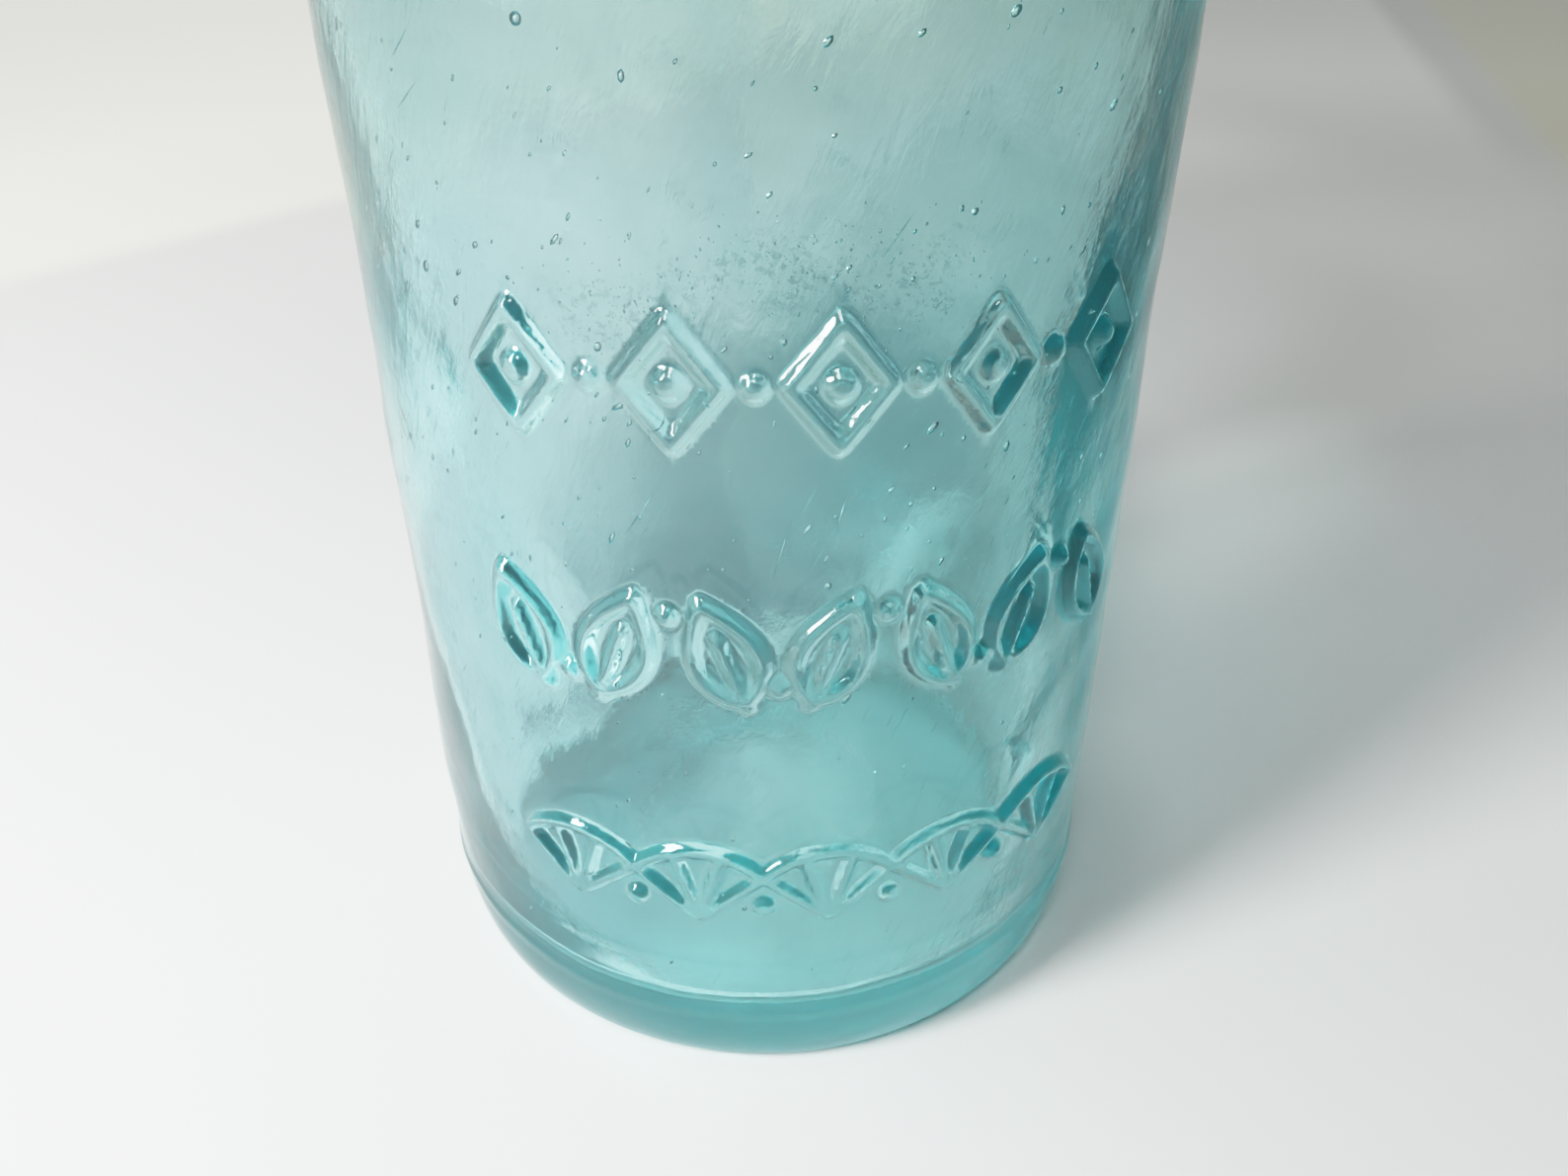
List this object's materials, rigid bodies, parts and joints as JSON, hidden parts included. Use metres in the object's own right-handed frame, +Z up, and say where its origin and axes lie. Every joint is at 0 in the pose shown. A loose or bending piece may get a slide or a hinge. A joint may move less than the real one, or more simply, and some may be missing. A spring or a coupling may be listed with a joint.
{
  "type": "hutchinson soda bottle",
  "caption": "Small mould-blown aqua glass soda bottle with a blob lip and an internal spring-wire stopper that is pulled up to seal and pushed down to pour.",
  "frame": {"origin": "centre of the bottle's axis on the surface that it stands on", "axes": "+Z up along the bottle's axis towards the mouth, -Y towards the raised front, +X to the right of the front"},
  "size_m": [0.065, 0.065, 0.1896],
  "materials": {
    "aqua_glass": "glossy transparent aqua glass with seed bubbles and a slightly uneven surface",
    "wire_steel": "tinned spring wire, dulled with age",
    "plate_metal": "stamped plate, dull with light rust",
    "gasket_rubber": "matt black rubber"
  },
  "bodies": {
    "bottle": {"glass_bottle": "aqua_glass", "blob_lip": "aqua_glass"},
    "stopper": {"spring_wire_loop": "wire_steel", "stopper_stud": "plate_metal", "upper_plate": "plate_metal", "rubber_gasket": "gasket_rubber", "lower_plate": "plate_metal"}
  },
  "joints": [
    {"name": "stopper_push", "type": "slide", "parent": "bottle", "child": "stopper", "axis": [0, 0, -1], "range_m": [0, 0.011]}
  ]
}
